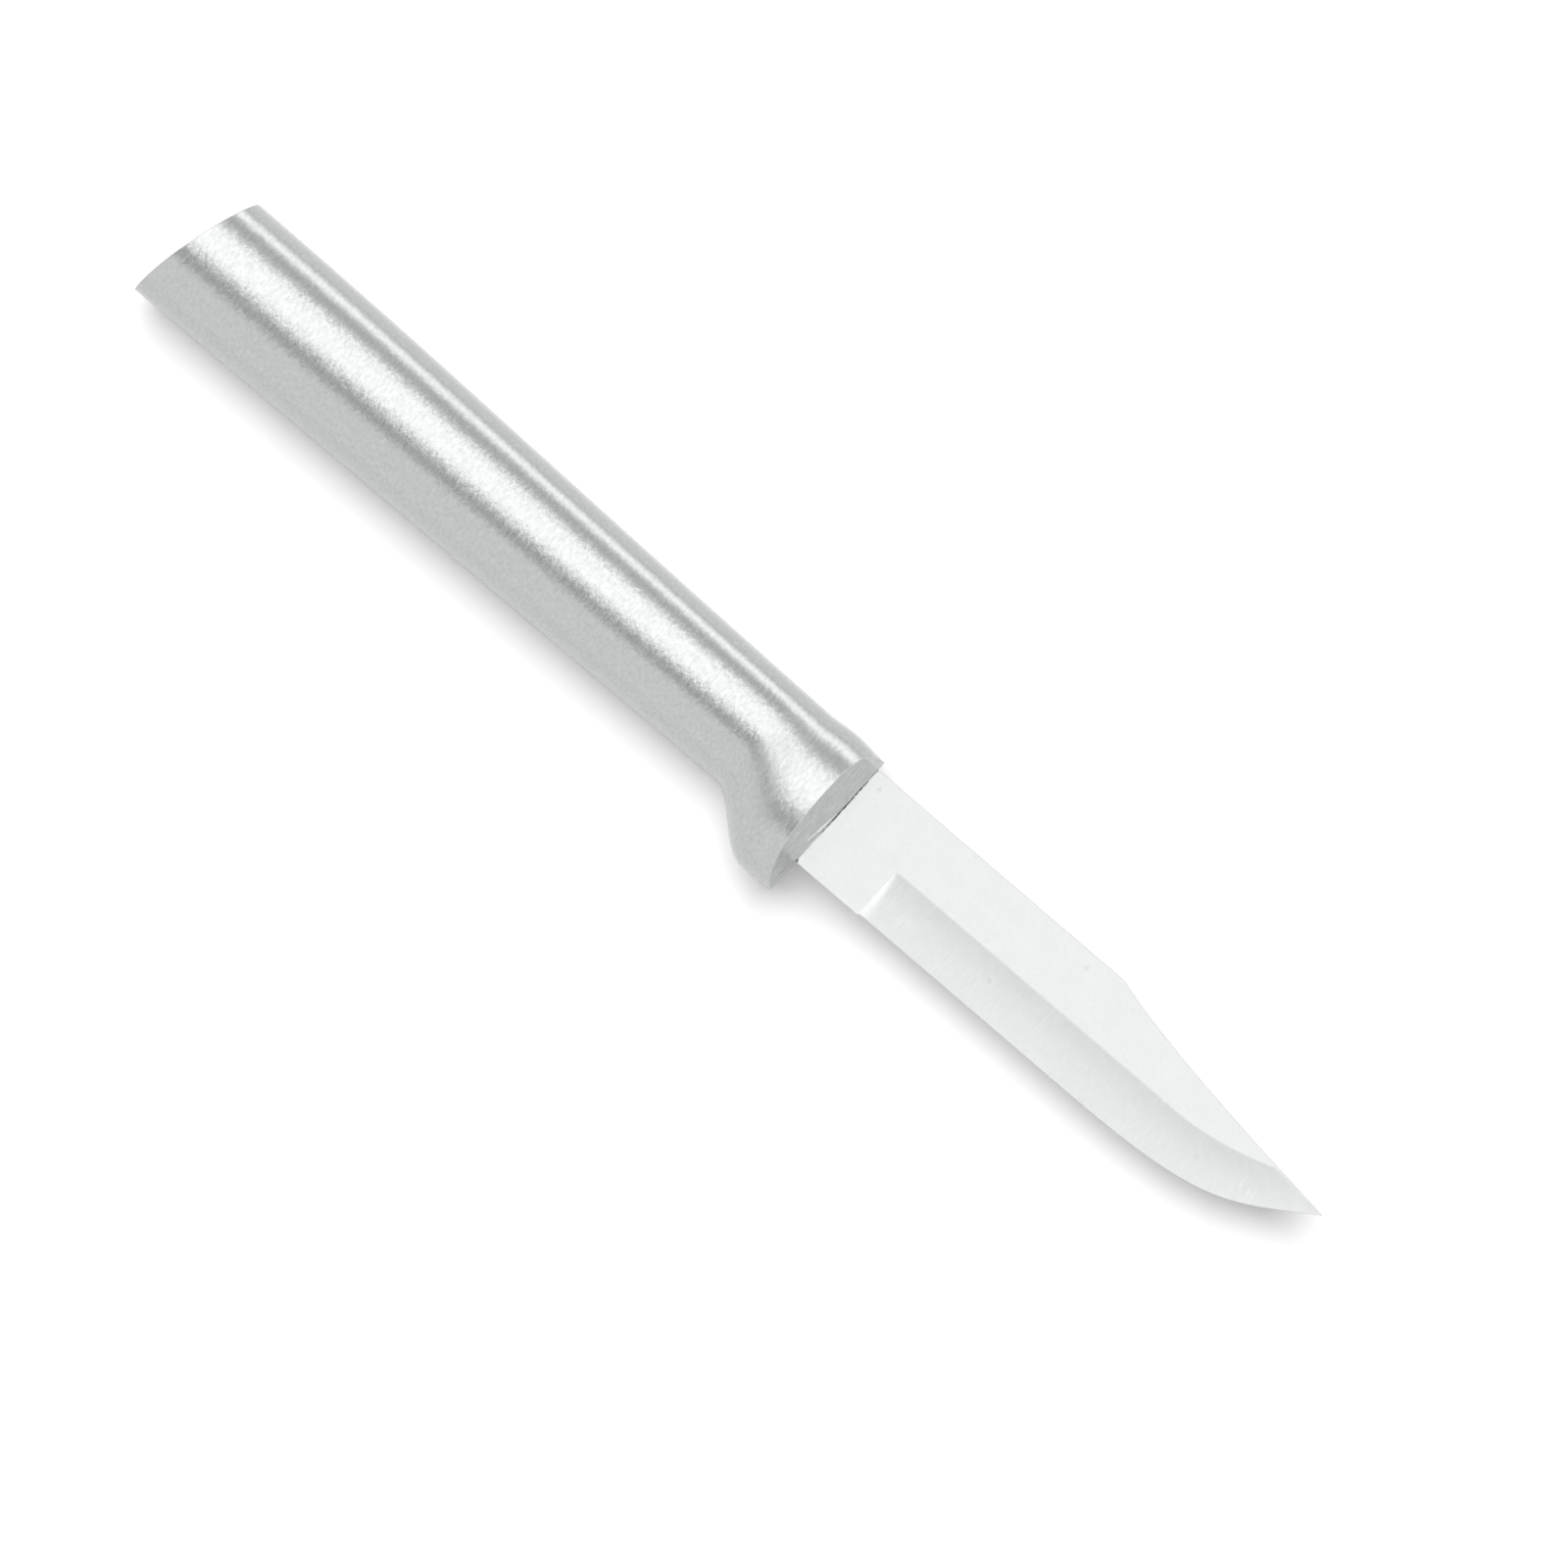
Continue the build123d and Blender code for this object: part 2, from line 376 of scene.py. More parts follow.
def add_nose(bm, row, half, brush, weight):
    """Narrow flat of the nose with the blade's slot in it, and the two faces ground back from it."""
    low_cap = half - CAP_STEPS
    upper, lower = {}, {}
    for end, y in (("top", SLOT_GAP), ("bottom", -blade_width - SLOT_GAP)):
        back = nose_back(y, 0)
        upper[end] = bm.verts.new(handle_point(back, y, NOSE_HALF))
        lower[end] = bm.verts.new(handle_point(back, y, -NOSE_HALF))
    slot = {}
    for depth_name, depth in (("mouth", 0), ("floor", SLOT_DEPTH)):
        for end, y in (("top", SLOT_GAP), ("bottom", -blade_width - SLOT_GAP)):
            for side in (1, -1):
                place = handle_point(nose_back(y, 0) + depth, y, side * (half_blade + SLOT_GAP))
                slot[depth_name, end, side] = bm.verts.new(place)

    ring = len(row)
    upper_side = row[CAP_STEPS : low_cap + 1]
    lower_side = [row[ring - i] for i in range(CAP_STEPS, low_cap + 1)]
    top_cap = [row[-i] for i in range(CAP_STEPS, 0, -1)] + row[: CAP_STEPS + 1]
    low_arc = row[low_cap : half + CAP_STEPS + 1]
    flat_face(bm, brush, upper_side + [upper["bottom"], upper["top"]], Z_AXIS)
    flat_face(bm, brush, lower_side + [lower["bottom"], lower["top"]], Z_AXIS)
    mouth_top = [slot["mouth", "top", 1], slot["mouth", "top", -1]]
    mouth_low = [slot["mouth", "bottom", -1], slot["mouth", "bottom", 1]]
    flat_face(bm, brush, top_cap + [upper["top"], *mouth_top, lower["top"]], Z_AXIS)
    flat_face(bm, brush, low_arc + [lower["bottom"], *mouth_low, upper["bottom"]], Z_AXIS)
    for side, edge in ((1, upper), (-1, lower)):
        strip = [edge["top"], slot["mouth", "top", side], slot["mouth", "bottom", side], edge["bottom"]]
        flat_face(bm, brush, strip, Z_AXIS)
    corners = (("top", 1), ("top", -1), ("bottom", -1), ("bottom", 1))
    for a, b in zip(corners, corners[1:] + corners[:1]):
        wall = [slot["mouth", *a], slot["mouth", *b], slot["floor", *b], slot["floor", *a]]
        flat_face(bm, brush, wall, X_AXIS)
    flat_face(bm, brush, [slot["floor", *corner] for corner in corners], Z_AXIS)
    for side_row, edge in ((upper_side, upper), (lower_side, lower)):
        line = [side_row[0], edge["top"], edge["bottom"], side_row[-1]]
        for a, b in zip(line, line[1:]):
            bm.edges.get((a, b))[weight] = RIDGE_ROUND_SHARE


def add_butt(bm, row, half, brush):
    """Butt, bowed from the spine to the belly: strips straight across the handle."""
    ring = len(row)
    flat_face(bm, brush, [row[0], row[1], row[-1]], Z_AXIS)
    for i in range(1, half - 1):
        flat_face(bm, brush, [row[i], row[i + 1], row[ring - i - 1], row[ring - i]], Z_AXIS)
    flat_face(bm, brush, [row[half - 1], row[half], row[half + 1]], Z_AXIS)


def round_corners(obj, width):
    """Rounds the edges that carry a bevel weight."""
    bevel = obj.modifiers.new("round_corners", "BEVEL")
    bevel.limit_method = "WEIGHT"
    bevel.width = width
    bevel.segments = CORNER_SEGMENTS
    bevel.use_clamp_overlap = False
    bevel.harden_normals = True


# Blade
def spine_at(x):
    """Height of the spine at a distance from the handle."""
    if x <= SPINE_STRAIGHT:
        return 0.0
    return curve_meets(clip_points, lambda place: place[0], x)[1]


def edge_at(x):
    """Height of the edge at a distance from the handle, with the small step where the grind starts."""
    if x <= EDGE_STRAIGHT:
        return -blade_width + RICASSO_STEP * ease((x - PLUNGE_START - PLUNGE_LEAN) / EDGE_STEP_WIDTH)
    return curve_meets(belly_points, lambda place: place[0], x)[1]


def fan_turn(place):
    """Turn about the grind's centre, from straight down towards the point."""
    return atan2(place[0] - turn_x, turn_y - place[1])


def on_fan(turn, down):
    """Place at a turn about the grind's centre, a distance below the grind line."""
    reach = turn_radius + down
    return turn_x + reach * sin(turn), turn_y - reach * cos(turn)


def crease_down(turn):
    """Where the hollow meets the flat at a turn: the deeper the wheel bites, the higher the crease."""
    down = 0.0
    for _ in range(CREASE_PASSES):
        bite = (on_fan(turn, down)[0] - turn_x) * tan(turn_lean)
        down -= (hollow_height(down) - bite - half_blade) / -tan(hollow_slope)
    return down


def below_line(x, y):
    """Distance below the grind line, and how much deeper the wheel bites there."""
    if x <= turn_x:
        return grind_line - y, 0.0
    return hypot(x - turn_x, y - turn_y) - turn_radius, (x - turn_x) * tan(turn_lean)


def plunge_pull(y):
    """How far the plunge's start lies further along at a height: a rounded corner, then a slight lean."""
    if y > grind_line:
        return PLUNGE_CORNER_BACK * y / grind_line
    from_corner = max(1 - (grind_line - y) / PLUNGE_CORNER_DROP, 0)
    corner = 1 - sqrt(1 - from_corner * from_corner)
    return PLUNGE_CORNER_BACK * corner + PLUNGE_LEAN * (grind_line - y) / GRIND_WIDTH


def pulled(place, pull):
    """Place moved with the plunge's start, by a share that fades away from it."""
    return place[0] + pull * plunge_pull(place[1]), place[1]


def plunge_share(x, y):
    """How far the plunge has run into the full hollow at a place: steep at first, then easing out."""
    low = min(max((grind_line - y) / GRIND_WIDTH, 0), 1)
    width = PLUNGE_WIDTHS[0] + (PLUNGE_WIDTHS[1] - PLUNGE_WIDTHS[0]) * low
    run = min(max((x - PLUNGE_START - plunge_pull(y)) / width, 0), 1)
    return 1 - (1 - run) ** PLUNGE_POWER


def column_ends():
    """Spine, crease and edge places of each column of the blade's mesh, how far along it is, and its pull."""
    plunge_end = PLUNGE_START + PLUNGE_WIDTHS[1]
    xs = [-BLADE_IN_HANDLE, -BLADE_IN_HANDLE / 2]
    xs += [PLUNGE_START * i / RICASSO_COLUMNS for i in range(RICASSO_COLUMNS)]
    xs += [PLUNGE_START + PLUNGE_WIDTHS[1] * i / PLUNGE_COLUMNS for i in range(PLUNGE_COLUMNS + 1)]
    run = turn_x - plunge_end
    xs += [plunge_end + run * i / GRIND_COLUMNS for i in range(1, GRIND_COLUMNS + 1)]
    columns = []
    for x in xs:
        pull = max(1 - abs(x - PLUNGE_START) / PLUNGE_START, 0)
        edge = (x, edge_at(x + pull * PLUNGE_LEAN))
        columns.append(((x, spine_at(x)), (x, grind_line), edge, x, pull))
    last_turn = fan_turn(point)
    for i in range(1, FAN_COLUMNS + 1):
        turn = last_turn * i / FAN_COLUMNS
        spine = curve_meets(clip_points, fan_turn, turn)
        edge = curve_meets(belly_points, fan_turn, turn)
        crease = on_fan(turn, crease_down(turn))
        if hypot(crease[0] - turn_x, crease[1] - turn_y) < hypot(spine[0] - turn_x, spine[1] - turn_y):
            crease = spine
        columns.append((spine, crease, edge, turn_x + turn * (turn_radius + GRIND_WIDTH), 0.0))
    return columns


def blade_half(place, spine, edge):
    """Half the blade's thickness at a place: the flat, the hollow, the honed edge and the rounded spine."""
    ground = plunge_share(*place)
    down, bite = below_line(*place)
    height = min(half_blade, hollow_height(down) - bite)
    height = max(height, HONED_HALF)
    from_edge = hypot(place[0] - edge[0], place[1] - edge[1])
    honed = HONED_HALF + (height - HONED_HALF) * min(from_edge / HONED_WIDTH, 1)
    height = half_blade + (honed - half_blade) * ground
    from_spine = hypot(place[0] - spine[0], place[1] - spine[1])
    if from_spine < SPINE_ROUND:
        fall = SPINE_ROUND - sqrt(SPINE_ROUND**2 - (SPINE_ROUND - from_spine) ** 2)
        height = max(height - fall, HONED_HALF)
    return height


def row_places(spine, crease, edge):
    """Places down one column: round the spine, over the flat to the crease, over the hollow to the edge."""
    flat = hypot(crease[0] - spine[0], crease[1] - spine[1])
    whole = flat + hypot(edge[0] - crease[0], edge[1] - crease[1])
    last = SPINE_ROWS - 2
    rounding = [SPINE_ROUND * (1 - cos(pi / 2 * i / last)) for i in range(last + 1)] + [SPINE_SUPPORT]
    distances = [min(d, flat) for d in rounding]
    start, end = distances[-1], max(flat - SUPPORT, distances[-1])
    distances += [start + (end - start) * i / FLAT_ROWS for i in range(1, FLAT_ROWS + 1)] + [flat]
    start = min(flat + SUPPORT, whole)
    end = max(whole - HONED_WIDTH, start)
    distances += [start + (end - start) * i / HOLLOW_ROWS for i in range(HOLLOW_ROWS + 1)]
    distances += [end + (whole - end) * i / HONED_ROWS for i in range(1, HONED_ROWS + 1)]
    places = []
    for distance in distances:
        if distance <= flat:
            share = distance / flat if flat > 0 else 0
            a, b = spine, crease
        else:
            share = (distance - flat) / (whole - flat)
            a, b = crease, edge
        places.append((a[0] + (b[0] - a[0]) * share, a[1] + (b[1] - a[1]) * share))
    return places, distances


def build_blade():
    """Closed blade: both ground sides, the rounded spine, the honed edge and the end in the handle."""
    bm = bmesh.new()
    brush = bm.loops.layers.uv.new("brush")
    ground_layer = bm.verts.layers.float.new("ground")
    sides = {1: [], -1: []}
    spots = {}
    for spine, crease, edge, along, pull in column_ends():
        places, distances = row_places(spine, crease, edge)
        places = [pulled(place, pull) for place in places]
        edge = pulled(edge, pull)
        for side in (1, -1):
            column = []
            for place, distance in zip(places, distances):
                half = blade_half(place, spine, edge)
                vertex = bm.verts.new((front_x + place[0], spine_y + place[1], mid_z + side * half))
                spots[vertex] = (along, distance)
                column.append(vertex)
            sides[side].append(column)

    crease_row = SPINE_ROWS + FLAT_ROWS
    honed_row = crease_row + HOLLOW_ROWS + 1
    for columns in sides.values():
        for a, b in zip(columns, columns[1:]):
            for i in range(len(a) - 1):
                bm.faces.new((a[i], a[i + 1], b[i + 1], b[i]))
    for row_number in (0, -1):
        for i in range(len(sides[1]) - 1):
            a, b = sides[1][i], sides[1][i + 1]
            c, d = sides[-1][i], sides[-1][i + 1]
            bm.faces.new((a[row_number], b[row_number], d[row_number], c[row_number]))
    bm.faces.new(sides[1][0] + sides[-1][0][::-1])
    bm.faces.new(sides[1][-1] + sides[-1][-1][::-1])
    for columns in sides.values():
        for a, b in zip(columns, columns[1:]):
            in_grind = spots[b[crease_row]][0] > PLUNGE_START + SLIVER
            for i in range(crease_row, len(a)):
                b[i][ground_layer] = 1.0 if in_grind else 0.0
            if in_grind:
                bm.edges.get((a[honed_row], b[honed_row])).smooth = False
            starts_here = abs(spots[a[crease_row]][0] - PLUNGE_START) < SLIVER
            for low, high in zip(a[crease_row:], a[crease_row + 1 :]):
                if starts_here:
                    bm.edges.get((low, high)).smooth = False
    for face in bm.faces:
        for loop in face.loops:
            loop[brush].uv = spots[loop.vert]
    bmesh.ops.remove_doubles(bm, verts=bm.verts, dist=WELD)
    return make_object("blade_body", bm)


# Materials
# Where most of a noise's values lie
NOISE_SPAN = (0.3, 0.7)

# Grain, brushing and clouds: how wide a mark is across the brushing, and how long along it
GRAIN = (0.34 * MM, 1.0 * MM)
FINE_GRAIN = (0.16 * MM, 0.34 * MM)
MOTTLE = (0.38 * MM, 0.6 * MM)
CAST_CLOUD = (1.8 * MM, 2.6 * MM)
BRUSHING = (0.26 * MM, 2.4 * MM)
WHEEL_MARKS = (0.34 * MM, 1.3 * MM)
SATIN = (0.6 * MM, 0.5 * MM)
STEEL_CLOUD = (2.2 * MM, 1.6 * MM)
SCRATCHES = (0.2 * MM, 3.2 * MM)
SCRATCH_PATCHES = (6.0 * MM, 6.0 * MM)

# Aluminium: a depth is how far a mark changes the shade, and a tone is what the shade is multiplied by
ALUMINIUM_COLOUR = (0.548, 0.561, 0.555)
ALUMINIUM_RELIEF = 0.042 * MM
ALUMINIUM_ANISOTROPY = 0.9
BODY_ROUGHNESS = (0.277, 0.37)
BODY_ROUGHNESS_SPAN = (0.36, 0.7)
CUT_ROUGHNESS = 0.36
FINE_GRAIN_SHARE = 0.25
CUT_MOTTLE_SHARE = 0.4
MOTTLE_DEPTH = 0.07
SCOUR_DEPTH = 0.2
CAST_CLOUD_DEPTH = 0.015
NOSE_SPAN = (-30 * MM, -20 * MM)
# Painted reflection on the nose's ground faces: darker below the spine line, where they mirror the blade,
# lighter above it, where they mirror the floor
NOSE_REFLECTION_TONES = (0.80, 0.97)
NOSE_REFLECTION_STEP = (-0.15 * MM, 0.1 * MM)
BUTT_TONE = 0.85
# Painted highlight along the burrs on the nose: its width and how much lighter it makes them
BURR_WIDTH = 0.06 * MM
BURR_HIGHLIGHT_TONE = 1.55

# Steel
STEEL_COLOUR = (0.645, 0.657, 0.651)
STEEL_RELIEF = 0.006 * MM
STEEL_ANISOTROPY = 0.2
STEEL_ROUGHNESS = (0.39, 0.43)
SATIN_DEPTH = 0.018
WHEEL_MARK_DEPTH = 0.024
STEEL_CLOUD_DEPTH = 0.01
SCRATCH_SPAN = (0.62, 0.75)
SCRATCH_PATCH_SPAN = (0.45, 0.6)
SCRATCH_DEPTH = 0.07

# Painted shade on the ground hollow, darker towards the edge: its tone at the edge, and the height above the
# edge where it ends
PAINTED_EDGE_SHADE = 0.957
PAINTED_EDGE_SHADE_REACH = 3.4 * MM

# Faint spots on the steel, two sizes: spacing, radius and depth; and what puts them out of round
SPOTS = ((8.0 * MM, 0.4 * MM, -0.10), (2.3 * MM, 0.09 * MM, -0.08))
SPOT_CORE_SHARE = 0.4
SPOT_STRENGTH_SPAN = (0.3, 1)
SPOT_WOBBLE_SIZE = 0.5 * MM
SPOT_WOBBLE = 0.4 * MM

# Painted shade where the blade leaves the casting, drawn as a dark line, with its reach on each metal, its
# breaks, and the pit's painted shade
ALUMINIUM_LINE_REACH = 0.12 * MM
STEEL_LINE_REACH = 0.13 * MM
LINE_CORE_SHARE = 0.5
JUNCTION_SHADE_TONE = 0.12
BREAK_SIZE = 0.45 * MM
BREAK_STRENGTHS = (0.1, 1.5)
BREAK_SPAN = (0.35, 0.65)
PIT_SHADE_WIDTH = 0.19 * MM
PIT_SHADE_STRENGTH = 0.9
MARK_CORE_SHARE = 0.3


def add_node(tree, kind, inputs=None, **settings):
    """Node of one kind, with its settings, and inputs that are values or other nodes' outputs."""
    made = tree.nodes.new(kind)
    for name, value in settings.items():
        setattr(made, name, value)
    for name, value in (inputs or {}).items():
        if isinstance(value, bpy.types.NodeSocket):
            tree.links.new(value, made.inputs[name])
        else:
            made.inputs[name].default_value = value
    return made


def new_material(name):
    """Material with an empty node tree but for its output, and the output node."""
    material = bpy.data.materials.new(name)
    material.use_nodes = True
    material.node_tree.nodes.clear()
    return material, add_node(material.node_tree, "ShaderNodeOutputMaterial")


def maths(tree, operation, *inputs, **settings):
    """Result of one Math node on outputs or numbers."""
    inputs = dict(enumerate(inputs))
    return add_node(tree, "ShaderNodeMath", inputs, operation=operation, **settings).outputs[0]


def multiplied(tree, first, second):
    """Product of two outputs or numbers."""
    return maths(tree, "MULTIPLY", first, second)


def streaks(tree, across, along, detail=2.0):
    """Noise drawn out along the brushing: its grain is across wide and along long, in metres."""
    place = add_node(tree, "ShaderNodeUVMap", uv_map="brush").outputs["UV"]
    scale = add_node(tree, "ShaderNodeMapping", {"Vector": place, "Scale": (1 / across, 1 / along, 1)})
    inputs = {"Vector": scale.outputs["Vector"], "Scale": 1.0, "Detail": detail}
    return add_node(tree, "ShaderNodeTexNoise", inputs).outputs["Fac"]


def attribute(tree, name):
    """Value that the mesh carries under a name."""
    return add_node(tree, "ShaderNodeAttribute", attribute_name=name).outputs["Fac"]


def surface_place(tree):
    """Place of the surface's point in the frame."""
    return add_node(tree, "ShaderNodeTexCoord").outputs["Object"]


def mapped(tree, value, low, high, span=NOISE_SPAN):
    """Value taken from a span to low and high."""
    inputs = {"Value": value, "From Min": span[0], "From Max": span[1], "To Min": low, "To Max": high}
    return add_node(tree, "ShaderNodeMapRange", inputs).outputs["Result"]


def summed(tree, parts):
    """Sum of outputs, each times a weight."""
    total = None
    for value, weight in parts:
        if total is None:
            total = multiplied(tree, value, weight)
        else:
            total = maths(tree, "MULTIPLY_ADD", value, weight, total)
    return total


def tinted(tree, colour, shade):
    """Colour times a shade."""
    inputs = {0: colour, "Scale": shade}
    return add_node(tree, "ShaderNodeVectorMath", inputs, operation="SCALE").outputs["Vector"]


def blended(tree, share, first, second):
    """First where the share is 0, second where it is 1; each an output or a number."""
    inputs = {"Factor": share, 2: first, 3: second}
    return add_node(tree, "ShaderNodeMix", inputs).outputs[0]


def toned(tree, shade, share, tone):
    """Shade times a tone where the share is 1, and left alone where it is 0."""
    return multiplied(tree, shade, blended(tree, share, 1.0, tone))


def along_axis(tree, x, y, z, start):
    """Distance of the surface's point along a direction from a start, in metres."""
    inputs = {0: surface_place(tree), 1: (x, y, z)}
    dot = add_node(tree, "ShaderNodeVectorMath", inputs, operation="DOT_PRODUCT").outputs["Value"]
    return maths(tree, "SUBTRACT", dot, start)


def from_nose(tree):
    """Distance of the surface's point in front of the handle's leaning nose."""
    lean = tan(NOSE_SLANT)
    return along_axis(tree, 1, -lean, 0, front_x - spine_y * lean)


def mark(tree, start, end, width):
    """Share of a fine straight mark between two places in X and Y, from the blade's top corner."""
    run = (end[0] - start[0], end[1] - start[1])
    length = hypot(*run)
    x, y = run[0] / length, run[1] / length
    start_x, start_y = front_x + start[0], spine_y + start[1]
    aside = along_axis(tree, -y, x, 0, start_y * x - start_x * y)
    along = along_axis(tree, x, y, 0, start_x * x + start_y * y + length / 2)
    past_end = maths(tree, "SUBTRACT", maths(tree, "ABSOLUTE", along), length / 2)
    beyond = maths(tree, "MAXIMUM", past_end, 0.0)
    squares = maths(tree, "ADD", multiplied(tree, aside, aside), multiplied(tree, beyond, beyond))
    return mapped(tree, maths(tree, "SQRT", squares), 0, 1, span=(width, MARK_CORE_SHARE * width))


def junction_shade(tree, reach):
    """Painted shade where the blade leaves the casting: a dark line broken near the spine and gone near the
    edge, and a dark spot of painted shade at the pit.
    """
    height = along_axis(tree, 0, 1, 0, spine_y - blade_width)
    ramp = add_node(tree, "ShaderNodeValToRGB", {"Fac": mapped(tree, height, 0, 1, span=(0, blade_width))})
    stops = ramp.color_ramp.elements
    stops[0].color, stops[1].color = (0, 0, 0, 1), (0, 0, 0, 1)
    for place, strength in JUNCTION_STRENGTHS:
        stops.new(place).color = (strength,) * 3 + (1,)
    inputs = {"Vector": surface_place(tree), "Scale": 1 / BREAK_SIZE, "Detail": 1.0}
    breaks = add_node(tree, "ShaderNodeTexNoise", inputs).outputs["Fac"]
    broken = mapped(tree, breaks, *BREAK_STRENGTHS, span=BREAK_SPAN)
    from_line = maths(tree, "ABSOLUTE", from_nose(tree))
    near = mapped(tree, from_line, 0, 1, span=(reach, LINE_CORE_SHARE * reach))
    line = multiplied(tree, near, multiplied(tree, ramp.outputs["Color"], broken))
    pit = multiplied(tree, mark(tree, *NOSE_PIT_SHADE, PIT_SHADE_WIDTH), PIT_SHADE_STRENGTH)
    return maths(tree, "MAXIMUM", line, pit, use_clamp=True)


def add_metal(tree, output, colour, height, relief, roughness, anisotropy):
    """Metal shader on the piece's brush coordinates; relief is how deep the height is drawn, in metres."""
    bump = add_node(tree, "ShaderNodeBump", {"Height": height, "Strength": 1.0, "Distance": relief})
    tangent = add_node(tree, "ShaderNodeTangent", direction_type="UV_MAP", uv_map="brush")
    shader = add_node(tree, "ShaderNodeBsdfPrincipled", {
        "Base Color": colour,
        "Metallic": 1.0,
        "Roughness": roughness,
        "Anisotropic": anisotropy,
        "Normal": bump.outputs["Normal"],
        "Tangent": tangent.outputs["Tangent"],
    })
    tree.links.new(shader.outputs["BSDF"], output.inputs["Surface"])


def aluminium():
    """Cast aluminium: a fine satin grain all over, longer brushing on the ground nose and butt; painted
    reflection and highlights on the nose, and painted shade where the blade leaves it.
    """
    material, output = new_material("brushed_aluminium")
    tree = material.node_tree
    cut = attribute(tree, "cut")
    grain = streaks(tree, *GRAIN)
    fine = streaks(tree, *FINE_GRAIN)
    mottle = streaks(tree, *MOTTLE)
    cloud = streaks(tree, *CAST_CLOUD)
    brushing = streaks(tree, *BRUSHING)
    body = summed(tree, ((grain, 1.0), (fine, FINE_GRAIN_SHARE)))
    scoured = summed(tree, ((brushing, 1 - CUT_MOTTLE_SHARE), (mottle, CUT_MOTTLE_SHARE)))

    body_spots = mapped(tree, mottle, -MOTTLE_DEPTH, MOTTLE_DEPTH)
    cut_spots = mapped(tree, scoured, -SCOUR_DEPTH, SCOUR_DEPTH)
    clouds = mapped(tree, cloud, 1 - CAST_CLOUD_DEPTH, 1 + CAST_CLOUD_DEPTH)
    shade = summed(tree, ((blended(tree, cut, body_spots, cut_spots), 1.0), (clouds, 1.0)))
    # Painted reflection: the nose's faces darker where they mirror the blade, lighter above the spine line
    nose_reflection_tone = mapped(tree, along_axis(tree, 0, 1, 0, spine_y), *NOSE_REFLECTION_TONES, span=NOSE_REFLECTION_STEP)
    nose = multiplied(tree, cut, mapped(tree, from_nose(tree), 0, 1, span=NOSE_SPAN))
    shade = toned(tree, shade, nose, nose_reflection_tone)
    shade = toned(tree, shade, maths(tree, "SUBTRACT", cut, nose), BUTT_TONE)
    # Painted highlights along the burrs
    for start, end in NOSE_BURRS:
        burr = multiplied(tree, mark(tree, start, end, BURR_WIDTH), cut)
        shade = toned(tree, shade, burr, BURR_HIGHLIGHT_TONE)
    # Painted shade where the blade leaves the casting, and at the pit
    shade = toned(tree, shade, junction_shade(tree, ALUMINIUM_LINE_REACH), JUNCTION_SHADE_TONE)

    height = blended(tree, cut, body, scoured)
    body_roughness = mapped(tree, grain, *BODY_ROUGHNESS, span=BODY_ROUGHNESS_SPAN)
    roughness = blended(tree, cut, body_roughness, CUT_ROUGHNESS)
    colour = tinted(tree, ALUMINIUM_COLOUR, shade)
    add_metal(tree, output, colour, height, ALUMINIUM_RELIEF, roughness, ALUMINIUM_ANISOTROPY)
    return material


def stain_spots(tree, spacing, radius):
    """Few small faint spots, each a little out of round, about one in each square of the spacing."""
    place = surface_place(tree)
    wobble = add_node(tree, "ShaderNodeTexNoise", {"Vector": place, "Scale": 1 / SPOT_WOBBLE_SIZE})
    inputs = {0: wobble.outputs["Color"], 1: (SPOT_WOBBLE,) * 3, 2: place}
    moved = add_node(tree, "ShaderNodeVectorMath", inputs, operation="MULTIPLY_ADD").outputs["Vector"]
    inputs = {"Vector": moved, "Scale": 1 / spacing}
    cells = add_node(tree, "ShaderNodeTexVoronoi", inputs, voronoi_dimensions="2D").outputs
    size = radius / spacing
    near = mapped(tree, cells["Distance"], 0, 1, span=(size, SPOT_CORE_SHARE * size))
    strength = add_node(tree, "ShaderNodeSeparateXYZ", {"Vector": cells["Color"]}).outputs["X"]
    return multiplied(tree, near, mapped(tree, strength, 0, 1, span=SPOT_STRENGTH_SPAN))


